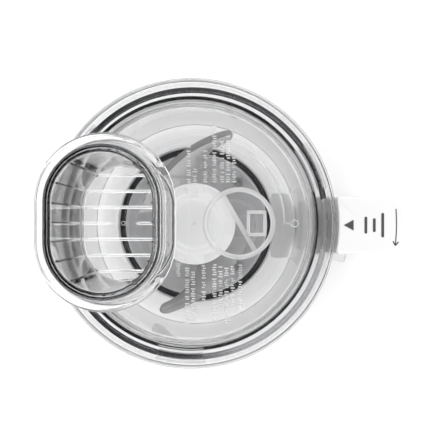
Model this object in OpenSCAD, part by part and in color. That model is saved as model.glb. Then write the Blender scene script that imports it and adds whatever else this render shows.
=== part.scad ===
// Bowl attachment of a food processor: clear bowl with a side handle, bayonet lid with an oval
// feed tube, hollow pusher, S-shaped knife on a drive spindle and a base collar.
// Millimetres. The drive axis is Z, the table is z = 0 and the handle points along +X.

/* [Overall] */
// diameter of the lid over its skirt
lid_d = 190; // [150:1:230]
// height of the lid's rim above the table
rim_h = 125; // [118:1:150]
// height of the feed tube's top above the lid's rim
tube_rise = 90; // [75:1:110]
// distance from the lid's skirt to the outer end of the handle
handle_out = 46; // [38:1:56]
// width of the handle where it meets the lid
handle_w = 40; // [34:1:48]

/* [Walls] */
// thickness of the lid, skirt and plate
lid_t = 2.2; // [1.6:0.1:2.8]
// thickness of the bowl's wall
bowl_t = 2.5; // [2:0.1:3]
// thickness of the bowl's floor
floor_t = 3; // [2.4:0.1:3.6]
// thickness of the feed tube's wall
tube_t = 2.2; // [1.8:0.1:2.7]
// thickness of the pusher's wall
pusher_t = 2; // [1.6:0.1:2.4]

/* [Feed tube] */
// half width of the feed tube, outside
tube_r = 31.5; // [26:0.5:34]
// straight length between the two round ends of the tube
tube_straight = 20.5; // [16:0.5:25]
// how far the oval tray reaches past the tube
tray_out = 6.7; // [5.5:0.1:8]
// depth of the pusher below the tube's top
pusher_depth = 87; // [70:1:95]
// how far the pusher can be pulled up
pusher_travel = 88; // [70:1:110]

/* [Knife] */
// radius of the knife's core
core_r = 16.5; // [15:0.1:19]
// radius of the hub's flange
flange_r = 30; // [26:0.5:34]
// thickness of each blade
blade_t = 1.8; // [1.4:0.1:2.2]
// height of the lower blade above the bowl's floor
low_blade_h = 8; // [7:0.5:12]
// height of the upper blade above the lower one
blade_step = 24; // [20:0.5:26]
// gap between the blade tips and the bowl's wall
tip_gap = 3.2; // [2:0.1:5]

/* [Drive] */
// radius of the spindle
spindle_r = 5; // [4.5:0.1:5.6]
// running clearance of the spindle in its bush
run_fit = 0.03; // [0.01:0.01:0.1]
// height of the bowl's floor above the table
floor_h = 21; // [20.5:0.5:25]
// radius of the base collar
collar_r = 62; // [58:0.5:66]

/* [Lid lock] */
// angle each locking lug spans
lug_angle = 20; // [16:1:22]
// angle the lid turns to open
open_angle = 24; // [23:1:30]
// travel of the interlock slider
slider_travel = 4; // [3:0.1:4.5]

/* [Hidden] */
$fn = 96;

// general fits
gap = 0.3;
slip = 0.15;
eps = 0.01;

// lid and bowl rings, all from the lid's size
lid_r = lid_d / 2;
skirt_in = lid_r - lid_t;
skirt_h = 18.5;
skirt_low = rim_h - skirt_h;
bowl_r = lid_r - 11.5;
bowl_in = bowl_r - bowl_t;
draft = 3;
bowl_low_r = bowl_r - draft;
bowl_low_in = bowl_low_r - bowl_t;
plug_out = bowl_in - 2.4;
plug_t = 2;
plug_in = plug_out - plug_t;
plug_h = 10;
plate_top = rim_h - 5.5;
plate_low = plate_top - lid_t;
bowl_top = rim_h - lid_t - gap;
floor_top = floor_h + floor_t;

// bayonet lugs: the bowl's point out and the lid's hooks point in, under them
lug_centres = [25, 145, 265];
lug_low = rim_h - 12;
lug_t = 3.5;
lug_out = skirt_in - 1.8;
hook_t = 4;
hook_top = lug_low - gap;
hook_in = bowl_r + 3.5;
ledge_r = lid_r - 1.2;
ledge_lip = 0.8;
ledge_t = 1.6;
drip_r = ledge_r - 5.4;
drip_slope = 40;
ledge_top = skirt_low - gap;
ledge_root = ledge_top - ledge_t;
ledge_low = ledge_root - (ledge_r - ledge_lip - drip_r) * tan(drip_slope);

// feed tube, tray and pusher: every oval has the same straight and the same centre
tube_x = -(plug_in - tube_r) * 0.965;
tube_in = tube_r - tube_t;
tube_top = rim_h + tube_rise;
tube_low = plate_low - 2.5;
tray_r = tube_r + tray_out;
tray_t = 2.2;
tray_z = tube_top - 11;
tray_lip_t = 2;
tray_lip_h = 2.8;
inner_lip_t = 1.6;
inner_lip_h = 1.8;
notch_r = 1.8;
notch_turn = 36.2;
notch_reach = tray_r - 2.4;
notch_x = notch_reach * cos(notch_turn);
wing_y = tube_straight / 2 + notch_reach * sin(notch_turn);
notch_h = 1.3;
pusher_r = tube_in - 0.5;
pusher_in = pusher_r - pusher_t;
pusher_low = tube_top - pusher_depth;
pusher_rim_r = tube_r - gap;
pusher_rim_t = 3.2;
pusher_floor_t = 2;
rib_t = 1.2;
rib_h = 1.6;
rib_count = 7;
rib_pitch = 10.3;
gate_r = 1.4;

// relief on the lid's plate: a plain ring with a bar and a square
relief_h = 0.6;
ring_x = lid_r * 0.33;
ring_out = 23.8;
ring_in = 20.6;
bar_w = 3.2;
bar_turn = -60;
square_x = ring_x + 5;
square_w = 13;
square_l = 17;
square_t = 2.2;

// drive
boss_r = 11;
boss_top = floor_h + 31.5;
bush_r = 8.5;
seal_h = 3;
clip_h = 1;
clip_groove = spindle_r - 0.4;
clip_r = 7.5;
washer_t = 1;
bush_low = floor_h - 1.6;
washer_low = bush_low - washer_t;
clip_low = washer_low - 0.2 - clip_h;
spindle_low = 8;
dog_low = boss_top + gap;
dog_h = 15;
dog_r = 9;
dog_top = dog_low + dog_h;
coupling_low = 3;
coupling_top = clip_low - 1;
coupling_r = 13;
socket_r = 7;
socket_depth = 6;

// knife
core_in = boss_r + 1;
hub_low = floor_top + 3;
low_z = floor_top + low_blade_h;
high_z = low_z + blade_step;
hub_flange_t = 4;
hub_flange_z = high_z + blade_t;
hub_neck_r = 20;
hub_neck_top = dog_top + gap + 3.5;
sleeve_r = core_r + 3;
cap_r = 23;
cap_top_r = 18;
cap_shoulder = hub_neck_top + 1;
cap_top = cap_shoulder + 10;
window_in = 24.2;
window_out = flange_r - 1.6;
window_angle = 32;
window_floor = 1.2;
blade_r = bowl_low_in - tip_gap;
blade_scale = blade_r / 75;

// base collar
collar_wall = 7.5;
collar_in = collar_r - collar_wall;
ledge_in = collar_in - 4.5;
plate_z = 14;
base_plate_t = 1.5;
seal_out = collar_r - 1.7;
seal_in = seal_out - 4.3;
seal_t = 3.5;
screw_pcd_r = collar_in - 7.5;
screw_count = 4;
ear_r = 5.5;
ear_low = 4;
ear_t = 4;
post_r = 4;
screw_r = 1.5;
screw_head_r = 3;
screw_head_h = 1.6;
screw_bite = 9;

// handle
handle_y = -1.2;
root_r = lid_r + 1.6;
foot_in = bowl_r + 0.8;
handle_end = lid_r + handle_out;
handle_top = rim_h - 1;
handle_low = 16;
end_w = handle_w - 5;
bulge = 7;
bulge_r = (end_w * end_w / 4 + bulge * bulge) / (2 * bulge);
grip_t = 29;
grip_x = handle_end - grip_t;
upper_foot_z = skirt_low - 12.5;
upper_foot_top = skirt_low - 2.5;
lower_foot_top = handle_low + 12;
corner_r = 8;
wall = 2.5;
tongue_w = 16;
tongue_x = grip_x - 12;
upper_tongue_z = upper_foot_z + 2.2;
lower_tongue_z = handle_low + 3;
tongue_t = 5.8;
cover_w = 26;
cover_low = lower_foot_top + corner_r;
cover_top = upper_foot_z - corner_r;
room_w = handle_w - 12;
room_low = handle_low + 6;
handle_screw_x = grip_x - 15;

// interlock: the lid's tab holds the slider down against its spring
tab_low = rim_h - 14;
tab_t = 4;
tab_out = lid_r + 10;
tab_from = -14.5;
tab_to = -3.8;
slot_low = tab_low - 1;
slot_top = rim_h - 6;
slot_out = tab_out + 1.2;
slot_from = -42;
slot_to = -2.6;
slider_y = -8;
slider_w = 6;
slider_x = handle_end - 17;
slider_top = tab_low - 1;
arm_t = 4.5;
arm_in = lid_r + 3;
spring_low = room_low;
spring_h = 20;
slider_bar_low = spring_low + spring_h;
plunger_r = 2.8;
plunger_low = handle_low - slider_travel;
plunger_hole_r = 3.1;
coil_r = 4.4;
wire_r = 0.6;
coil_turns = 5.5;
coil_steps = 16;
wire_steps = 8;

// markings on the handle's top
mark_t = 0.3;
mark_x = lid_r + 4.5;
mark_len = 6.5;
mark_half = 3.5;
dash_x = [lid_r + 19, lid_r + 24.5, lid_r + 30];
dash_l = [11, 9, 16];
dash_w = 1.8;
arrow_r = lid_r + 39;
arrow_w = 0.8;
arrow_from = -5;
arrow_to = 4;
arrow_head = 2;

// an oval: two round ends on a straight, long axis along Y
module oval(r) {
    for (side = [-1, 1]) translate([0, side * tube_straight / 2]) circle(r = r);
    square([2 * r, tube_straight], center = true);
}

// an oval tube between two heights
module oval_tube(r_out, r_in, low, top) {
    translate([tube_x, 0, low]) linear_extrude(height = top - low) difference() {
        oval(r_out);
        oval(r_in);
    }
}

// a ring about the axis
module ring(r_out, r_in, low, top) {
    translate([0, 0, low]) difference() {
        cylinder(r = r_out, h = top - low);
        translate([0, 0, -1]) cylinder(r = r_in, h = top - low + 2);
    }
}

// part of a ring, from one angle to another
module sector(r_in, r_out, low, top, from, to) {
    rotate([0, 0, from]) rotate_extrude(angle = to - from)
        translate([r_in, low]) square([r_out - r_in, top - low]);
}

// a block given by its low and high corners
module block(low, high) {
    translate(low) cube([high[0] - low[0], high[1] - low[1], high[2] - low[2]]);
}

// the four positions of the collar's screws
module at_screws() {
    for (i = [0 : screw_count - 1])
        rotate([0, 0, 45 + i * 360 / screw_count]) translate([screw_pcd_r, 0, 0]) children();
}

// clear bowl: drafted wall, floor, hollow boss for the spindle, lugs, drip ledge and two tongues
module bowl() {
    color([0.9, 0.92, 0.93, 0.3]) difference() {
        union() {
            rotate_extrude() polygon([
                [bush_r, floor_h], [bowl_low_r, floor_h], [bowl_r, bowl_top],
                [bowl_in, bowl_top], [bowl_low_in, floor_top], [boss_r, floor_top],
                [boss_r, boss_top], [bush_r, boss_top]]);
            rotate_extrude() polygon([[bowl_r - 1.6, ledge_root], [drip_r, ledge_root],
                [ledge_r - ledge_lip, ledge_low], [ledge_r, ledge_low], [ledge_r, ledge_top],
                [bowl_r - 1.6, ledge_top]]);
            for (c = lug_centres)
                sector(bowl_r - 1, lug_out, lug_low, lug_low + lug_t, c - lug_angle / 2,
                    c + lug_angle / 2);
            at_screws() translate([0, 0, ear_low + ear_t])
                cylinder(r = post_r, h = floor_h - ear_low - ear_t + 1);
            translate([0, handle_y, 0]) {
                block([bowl_r - 1.8, -tongue_w / 2, upper_tongue_z],
                    [tongue_x, tongue_w / 2, upper_tongue_z + tongue_t]);
                block([bowl_low_r - 1.8, -tongue_w / 2, lower_tongue_z],
                    [tongue_x, tongue_w / 2, lower_tongue_z + tongue_t]);
            }
        }
        at_screws() translate([0, 0, ear_low]) cylinder(r = screw_r, h = ear_t + screw_bite);
        translate([handle_screw_x, handle_y, 0]) cylinder(r = screw_r, h = rim_h);
    }
}

// dark ring pressed between the base collar and the bowl's floor
module bowl_seal() {
    color([0.08, 0.08, 0.09]) ring(seal_out, seal_in, floor_h - seal_t, floor_h);
}

// collar that drops on the machine, with a groove for the seal, ears and a locking tab
module base_collar() {
    color([0.82, 0.82, 0.83]) difference() {
        union() {
            ring(collar_r, collar_in, 0, floor_h);
            ring(collar_in + 1, ledge_in, plate_z - 2.5, plate_z);
            at_screws() translate([0, 0, ear_low]) {
                cylinder(r = ear_r, h = ear_t);
                translate([0, -ear_r, 0]) cube([collar_in - screw_pcd_r + 2, 2 * ear_r, ear_t]);
            }
            translate([0, handle_y, 0])
                block([collar_in + 3, -26, 6], [bowl_low_r + 1.5, 26, floor_h - 3]);
        }
        ring(seal_out, seal_in, floor_h - seal_t, floor_h + 1);
        at_screws() {
            cylinder(r = screw_r + slip, h = plate_z - 2.6);
            translate([0, 0, ear_low + ear_t]) cylinder(r = post_r + gap, h = rim_h);
        }
    }
}

// grey plate under the floor that covers the drive
module base_plate() {
    color([0.62, 0.63, 0.64]) difference() {
        ring(collar_in - slip, coupling_r + 1, plate_z, plate_z + base_plate_t);
        at_screws() cylinder(r = post_r + gap, h = rim_h);
    }
}

// four screws up through the collar's ears into the bowl's posts
module collar_screws() {
    color([0.7, 0.7, 0.72]) at_screws() difference() {
        union() {
            translate([0, 0, ear_low - screw_head_h]) cylinder(r = screw_head_r, h = screw_head_h);
            translate([0, 0, ear_low - eps]) cylinder(r = screw_r, h = ear_t + screw_bite - 1);
        }
        translate([0, 0, ear_low - screw_head_h - 0.1]) cylinder(r = 1.2, h = 1, $fn = 6);
    }
}

// plain bearing for the spindle in the bowl's boss
module bush() {
    color([0.66, 0.52, 0.3]) ring(bush_r, spindle_r + run_fit, bush_low, boss_top - seal_h);
}

// lip seal above the bush
module shaft_seal() {
    color([0.1, 0.1, 0.1]) ring(bush_r, spindle_r + run_fit, boss_top - seal_h, boss_top - 0.2);
}

// washer that takes the lift of the spindle
module thrust_washer() {
    color([0.75, 0.75, 0.76]) ring(bush_r - 0.5, spindle_r + 0.08, washer_low, bush_low);
}

// steel spindle with a groove for its clip
module spindle() {
    color([0.72, 0.72, 0.73]) difference() {
        union() {
            translate([0, 0, spindle_low]) cylinder(r = spindle_r, h = dog_top - spindle_low - 1);
            translate([0, 0, dog_top - 1]) cylinder(r1 = spindle_r, r2 = spindle_r - 1, h = 1);
        }
        ring(spindle_r + 1, clip_groove, clip_low, clip_low + clip_h);
    }
}

// clip in the spindle's groove, open on one side
module retaining_clip() {
    color([0.3, 0.3, 0.32])
        sector(clip_groove, clip_r, clip_low, clip_low + clip_h, 25, 335);
}

// female coupling that the machine's drive enters from below
module drive_coupling() {
    color([0.93, 0.93, 0.92]) difference() {
        translate([0, 0, coupling_low]) cylinder(r = coupling_r, h = coupling_top - coupling_low);
        translate([0, 0, coupling_low - 1]) cylinder(r = socket_r, h = socket_depth + 1, $fn = 6);
        translate([0, 0, coupling_low]) cylinder(r = spindle_r, h = coupling_top);
    }
}

// six-sided driver on the spindle's head
module drive_dog() {
    color([0.93, 0.93, 0.92]) difference() {
        translate([0, 0, dog_low]) cylinder(r = dog_r, h = dog_h, $fn = 6);
        translate([0, 0, dog_low - 1]) cylinder(r = spindle_r, h = dog_h + 2);
    }
}

// white knife hub: core over the bowl's boss, flange with six recesses, neck and driver socket
module blade_hub() {
    color([0.95, 0.95, 0.95]) difference() {
        union() {
            translate([0, 0, hub_low]) cylinder(r = core_r, h = hub_neck_top - hub_low);
            ring(sleeve_r, core_r - 1, hub_low, low_z);
            translate([0, 0, hub_flange_z]) cylinder(r = flange_r, h = hub_flange_t);
            translate([0, 0, hub_flange_z])
                cylinder(r = hub_neck_r, h = hub_neck_top - hub_flange_z);
        }
        translate([0, 0, hub_low - 1]) cylinder(r = core_in, h = dog_low - hub_low + 1.5);
        translate([0, 0, hub_low])
            cylinder(r = dog_r + gap * 1.2, h = dog_top + gap - hub_low, $fn = 6);
        for (i = [0 : 5])
            sector(window_in, window_out, hub_flange_z + window_floor, hub_flange_z + hub_flange_t + 1,
                i * 60 - window_angle / 2, i * 60 + window_angle / 2);
    }
}

// white domed cap on the hub
module hub_cap() {
    color([0.97, 0.97, 0.97]) rotate_extrude() {
        polygon([[hub_neck_r, hub_flange_z + hub_flange_t], [cap_r, hub_flange_z + hub_flange_t],
            [cap_r, hub_neck_top - 2], [cap_r - 1, cap_shoulder], [cap_top_r, cap_shoulder + 3],
            [cap_top_r - 1, cap_top - 4], [cap_top_r - 6, cap_top - 1.2], [0, cap_top],
            [0, hub_neck_top], [hub_neck_r, hub_neck_top]]);
    }
}

// sleeve that keeps the two blades apart
module blade_sleeve() {
    color([0.93, 0.93, 0.93]) ring(sleeve_r, core_r, low_z + blade_t, high_z);
}

// plan of one blade: crescent between two arcs with a round tip, and a ring round the core
module blade_plan() {
    difference() {
        union() {
            scale(blade_scale) intersection() {
                difference() {
                    translate([47.7, -20.8]) circle(r = 94.1);
                    translate([41.5, 19.7]) circle(r = 45.9);
                }
                polygon([[-50, 8], [-46, 60], [0, 90], [21.2, 72], [23.6, 60], [9, 20], [0, 0]]);
            }
            scale(blade_scale) translate([23.1, 65.7]) circle(r = 4.5);
            circle(r = core_r + 5);
        }
        circle(r = core_r);
    }
}

// upper steel blade, under the hub's flange
module upper_blade() {
    color([0.62, 0.62, 0.63]) translate([0, 0, high_z]) linear_extrude(height = blade_t) blade_plan();
}

// lower steel blade, half a turn on
module lower_blade() {
    color([0.62, 0.62, 0.63]) translate([0, 0, low_z]) rotate([0, 0, 180])
        linear_extrude(height = blade_t) blade_plan();
}

// clear lid: sunk plate, plug ring inside the bowl, flat rim, skirt, hooks and interlock tab
module lid() {
    color([0.9, 0.92, 0.93, 0.3]) difference() {
        union() {
            rotate_extrude() union() {
                translate([0, plate_low]) square([plug_out, lid_t]);
                translate([plug_in, rim_h - plug_h]) square([plug_t, plug_h]);
                translate([plug_in, rim_h - lid_t]) square([lid_r - plug_in, lid_t]);
                translate([skirt_in, skirt_low]) square([lid_t, skirt_h]);
            }
            for (c = lug_centres)
                sector(hook_in, skirt_in + 1, hook_top - hook_t, hook_top, c - lug_angle / 2,
                    c + lug_angle / 2);
            sector(skirt_in + 1, tab_out, tab_low, tab_low + tab_t, tab_from, tab_to);
            translate([ring_x, 0, plate_top - eps]) linear_extrude(height = relief_h + eps) {
                difference() {
                    circle(r = ring_out);
                    circle(r = ring_in);
                }
                rotate([0, 0, bar_turn]) square([2 * ring_in + 1, bar_w], center = true);
                translate([square_x - ring_x, -square_l / 2]) difference() {
                    square([square_w, square_l]);
                    translate([square_t, square_t])
                        square([square_w - 2 * square_t, square_l - 2 * square_t]);
                }
            }
        }
        translate([tube_x, 0, tube_low - 1]) linear_extrude(height = rim_h) oval(tube_r);
    }
}

// clear oval feed tube welded into the lid's plate
module feed_tube() {
    color([0.9, 0.92, 0.93, 0.3]) oval_tube(tube_r, tube_in, tube_low, tube_top);
}

// oval tray round the tube's top: lips at both round ends, plain wings at the sides
module tube_tray() {
    color([0.9, 0.92, 0.93, 0.3]) {
        difference() {
            union() {
                oval_tube(tray_r, tube_r, tray_z, tray_z + tray_t);
                oval_tube(tube_r + inner_lip_t, tube_r, tray_z, tray_z + tray_t + inner_lip_h);
                oval_tube(tray_r, tray_r - tray_lip_t, tray_z, tray_z + tray_t + tray_lip_h);
                for (x = [-1, 1], y = [-1, 1])
                    translate([tube_x + x * notch_x, y * wing_y, tray_z])
                        cylinder(r = notch_r, h = tray_t + notch_h);
            }
            translate([tube_x, 0, tray_z + tray_t + notch_h]) linear_extrude(height = 50)
                difference() {
                    square([3 * tray_r, 2 * wing_y - 3], center = true);
                    oval(tube_r + inner_lip_t);
                }
        }
    }
}

// clear hollow pusher with a rim that rests on the tube
module pusher() {
    color([0.9, 0.92, 0.93, 0.3]) union() {
        oval_tube(pusher_r, pusher_in, pusher_low, tube_top + gap + pusher_rim_t);
        oval_tube(pusher_rim_r, pusher_in, tube_top + gap, tube_top + gap + pusher_rim_t);
    }
}

// floor of the pusher with seven cross ribs, the middle one broken round the gate mark
module pusher_floor() {
    color([0.9, 0.92, 0.93, 0.3]) translate([tube_x, 0, pusher_low + 0.5]) {
        linear_extrude(height = pusher_floor_t) oval(pusher_in);
        linear_extrude(height = pusher_floor_t + rib_h) intersection() {
            oval(pusher_in);
            difference() {
                for (i = [0 : rib_count - 1])
                    translate([0, (i - (rib_count - 1) / 2) * rib_pitch])
                        square([3 * pusher_in, rib_t], center = true);
                square([18, rib_pitch], center = true);
            }
        }
        cylinder(r = gate_r, h = pusher_floor_t + 0.8);
    }
}

// column with the handle's plan: tapered sides and a bulged outer end
module handle_column() {
    translate([0, 0, handle_low]) linear_extrude(height = handle_top - handle_low)
        polygon([[foot_in - 8, handle_w / 2], [handle_end - bulge, end_w / 2],
            [handle_end - bulge, -end_w / 2], [foot_in - 8, -handle_w / 2]]);
    intersection() {
        translate([handle_end - bulge_r, 0, handle_low])
            cylinder(r = bulge_r, h = handle_top - handle_low);
        block([handle_end - bulge - 1, -end_w / 2, handle_low],
            [handle_end + 1, end_w / 2, handle_top]);
    }
}

// side view of the handle: two feet, the grip and rounded corners in the finger gap
module handle_side() {
    translate([grip_x, handle_low]) square([grip_t + 2, handle_top - handle_low]);
    translate([foot_in - 8, upper_foot_z]) square([grip_x - foot_in + 9, upper_foot_top - upper_foot_z]);
    translate([lid_r, upper_foot_top - 1]) square([grip_x - lid_r + 1, handle_top - upper_foot_top + 1]);
    translate([foot_in - 8, handle_low]) square([grip_x - foot_in + 9, lower_foot_top - handle_low]);
    difference() {
        translate([grip_x - corner_r, lower_foot_top - 1])
            square([corner_r + 1, upper_foot_z - lower_foot_top + 2]);
        translate([grip_x - corner_r, lower_foot_top + corner_r]) circle(r = corner_r);
        translate([grip_x - corner_r, upper_foot_z - corner_r]) circle(r = corner_r);
        translate([grip_x - 2 * corner_r, lower_foot_top + corner_r])
            square([2 * corner_r, upper_foot_z - lower_foot_top - 2 * corner_r]);
    }
}

// white handle, hollow, with pockets for the bowl's tongues and a slot for the lid's tab
module handle_shell() {
    color([0.96, 0.96, 0.96]) difference() {
        translate([0, handle_y, 0]) difference() {
            intersection() {
                handle_column();
                translate([0, handle_w, 0]) rotate([90, 0, 0]) linear_extrude(height = 2 * handle_w)
                    handle_side();
            }
            // room for the slider and spring behind the cover
            block([grip_x + wall, -room_w / 2, room_low],
                [handle_end - bulge + 1, room_w / 2, upper_foot_top - 2]);
            block([grip_x - 1, -cover_w / 2 - slip, cover_low - slip],
                [grip_x + wall + 1, cover_w / 2 + slip, cover_top + slip]);
            // shaft of the slider and channel of its arm
            block([slider_x - slider_w / 2 - 1, slider_y - slider_w / 2 - 1, upper_foot_top - 4],
                [slider_x + slider_w / 2 + 1, slider_y + slider_w / 2 + 1, slot_top - 1]);
            block([root_r - 4, slider_y - slider_w / 2 - 1, slider_top - arm_t - 1],
                [slider_x + slider_w / 2 + 1, slider_y + slider_w / 2 + 1, slot_top - 1]);
            translate([slider_x, slider_y, handle_low - 1])
                cylinder(r = plunger_hole_r, h = room_low - handle_low + 2);
            // pockets for the tongues and holes for their screws
            for (z = [upper_tongue_z, lower_tongue_z])
                block([foot_in - 10, -tongue_w / 2 - slip, z - slip],
                    [tongue_x + slip, tongue_w / 2 + slip, z + tongue_t + slip]);
            for (z = [upper_foot_z, handle_low]) translate([handle_screw_x, 0, z - 1])
                cylinder(r = screw_r + slip, h = 5);
        }
        // clearance round the bowl, the skirt and the path of the lid's tab
        cylinder(r = foot_in, h = rim_h + 1);
        translate([0, 0, ledge_low - gap]) cylinder(r = ledge_r + gap, h = rim_h);
        translate([0, 0, upper_foot_top]) cylinder(r = root_r, h = rim_h);
        sector(root_r - 3, slot_out, slot_low, slot_top, slot_from, slot_to);
    }
}

// cover that closes the handle on the finger side
module handle_cover() {
    color([0.93, 0.93, 0.93]) translate([0, handle_y, 0])
        block([grip_x, -cover_w / 2, cover_low], [grip_x + wall, cover_w / 2, cover_top]);
}

// two screws from below, through the handle's feet into the tongues
module handle_screws() {
    color([0.7, 0.7, 0.72]) for (z = [upper_foot_z, handle_low])
        translate([handle_screw_x, handle_y, z]) difference() {
            union() {
                translate([0, 0, -screw_head_h]) cylinder(r = screw_head_r, h = screw_head_h);
                translate([0, 0, -eps]) cylinder(r = screw_r, h = 8);
            }
            translate([0, 0, -screw_head_h - 0.1]) cylinder(r = 1.2, h = 1, $fn = 6);
        }
}

// grey marks on the handle's top: pointer, three dashes and the turning arrow
module handle_marks() {
    color([0.2, 0.2, 0.2]) translate([0, 0, handle_top]) linear_extrude(height = mark_t) {
        translate([0, handle_y]) {
            polygon([[mark_x, 0], [mark_x + mark_len, mark_half], [mark_x + mark_len, -mark_half]]);
            for (i = [0 : 2])
                translate([dash_x[i], 0]) square([dash_w, dash_l[i]], center = true);
        }
        intersection() {
            difference() {
                circle(r = arrow_r + arrow_w / 2);
                circle(r = arrow_r - arrow_w / 2);
            }
            polygon([[0, 0], [2 * arrow_r * cos(arrow_from), 2 * arrow_r * sin(arrow_from)],
                [2 * arrow_r * cos(arrow_to), 2 * arrow_r * sin(arrow_to)]]);
        }
        rotate([0, 0, arrow_from]) polygon([[arrow_r - arrow_head, 0.2],
            [arrow_r + arrow_head, 0.2], [arrow_r, -1.8 * arrow_head]]);
    }
}

// white slider: arm under the lid's tab, bar in the grip, plunger through the handle's foot
module interlock_slider() {
    color([0.9, 0.9, 0.9]) translate([0, handle_y, 0]) union() {
        block([arm_in, slider_y - slider_w / 2, slider_top - arm_t],
            [slider_x + slider_w / 2, slider_y + slider_w / 2, slider_top]);
        block([slider_x - slider_w / 2, slider_y - slider_w / 2, slider_bar_low],
            [slider_x + slider_w / 2, slider_y + slider_w / 2, slider_top]);
        translate([slider_x, slider_y, plunger_low])
            cylinder(r = plunger_r, h = slider_bar_low - plunger_low + 1);
    }
}

// point of the coil's wire: i steps along the coil, j steps round the wire
function coil_point(i, j) = let (
        a = i * 360 / coil_steps,
        b = j * 360 / wire_steps,
        rise = (spring_h - 2 * wire_r) / (coil_turns * coil_steps),
        r = coil_r + wire_r * cos(b))
    [r * cos(a), r * sin(a), wire_r + i * rise + wire_r * sin(b)];

// steel coil that lifts the slider when the lid opens
module interlock_spring() {
    rings = coil_turns * coil_steps;
    points = [for (i = [0 : rings], j = [0 : wire_steps - 1]) coil_point(i, j)];
    sides = [for (i = [0 : rings - 1], j = [0 : wire_steps - 1]) [
        i * wire_steps + j, i * wire_steps + (j + 1) % wire_steps,
        (i + 1) * wire_steps + (j + 1) % wire_steps, (i + 1) * wire_steps + j]];
    start = [[for (j = [0 : wire_steps - 1]) wire_steps - 1 - j]];
    end = [[for (j = [0 : wire_steps - 1]) rings * wire_steps + j]];
    color([0.6, 0.6, 0.62]) translate([slider_x, slider_y + handle_y, spring_low])
        polyhedron(points = points, faces = concat(sides, start, end), convexity = 8);
}

bowl();
bowl_seal();
base_collar();
base_plate();
collar_screws();
bush();
shaft_seal();
thrust_washer();
spindle();
retaining_clip();
drive_coupling();
drive_dog();
blade_hub();
hub_cap();
blade_sleeve();
upper_blade();
lower_blade();
lid();
feed_tube();
tube_tray();
pusher();
pusher_floor();
handle_shell();
handle_cover();
handle_screws();
handle_marks();
interlock_slider();
interlock_spring();
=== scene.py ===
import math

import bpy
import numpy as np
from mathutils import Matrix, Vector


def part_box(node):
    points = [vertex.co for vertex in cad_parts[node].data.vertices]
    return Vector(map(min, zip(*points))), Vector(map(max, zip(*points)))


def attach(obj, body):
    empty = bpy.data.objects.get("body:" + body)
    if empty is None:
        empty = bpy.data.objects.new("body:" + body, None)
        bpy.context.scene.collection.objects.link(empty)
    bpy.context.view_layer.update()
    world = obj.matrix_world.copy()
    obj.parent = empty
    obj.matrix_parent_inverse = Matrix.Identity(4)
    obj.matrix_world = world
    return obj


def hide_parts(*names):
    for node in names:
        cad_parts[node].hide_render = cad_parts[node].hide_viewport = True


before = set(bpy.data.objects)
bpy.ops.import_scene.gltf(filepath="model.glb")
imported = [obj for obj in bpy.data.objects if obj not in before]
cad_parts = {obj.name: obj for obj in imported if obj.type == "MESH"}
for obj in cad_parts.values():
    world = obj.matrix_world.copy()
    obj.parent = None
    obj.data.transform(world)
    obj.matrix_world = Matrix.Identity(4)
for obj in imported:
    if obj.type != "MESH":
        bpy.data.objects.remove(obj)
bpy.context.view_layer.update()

# %% [markdown]
# A clear food processor bowl, seen from straight above. Nearly everything in it is transparent
# plastic, so what the eye reads is not surface colour but bent light: dark lines where a wall is seen
# end on, and pale bands where it is seen through. So each wall is a real closed solid with the
# thickness and the rounded edges that a moulding has, and the light does the drawing.

MM = 0.001


def box(node):
    """The node's lowest and highest corner in millimetres."""
    low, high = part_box(node)
    return np.array(low) / MM, np.array(high) / MM


# %% [markdown]
# Shader maths is easier to read as an expression than as a wall of nodes. A small class wraps one
# socket, and adding or multiplying two of them adds the Math node that does it.

# %% Shader expressions
class Value:
    """A shader socket that can be added, subtracted and multiplied."""

    def __init__(self, graph, socket):
        self.graph, self.socket = graph, socket

    def math(self, operation, *others):
        return self.graph.node("ShaderNodeMath", {"operation": operation}, dict(enumerate((self,) + others)))

    def between(self, low, high):
        """The value, held between two numbers."""
        return self.math("MAXIMUM", low).math("MINIMUM", high)

    def __add__(self, other): return self.math("ADD", other)
    def __mul__(self, other): return self.math("MULTIPLY", other)
    def __sub__(self, other): return self.math("SUBTRACT", other)
    __radd__, __rmul__ = __add__, __mul__

    def __rsub__(self, other):
        return self.graph.node("ShaderNodeMath", {"operation": "SUBTRACT"}, {0: other, 1: self})


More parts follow.
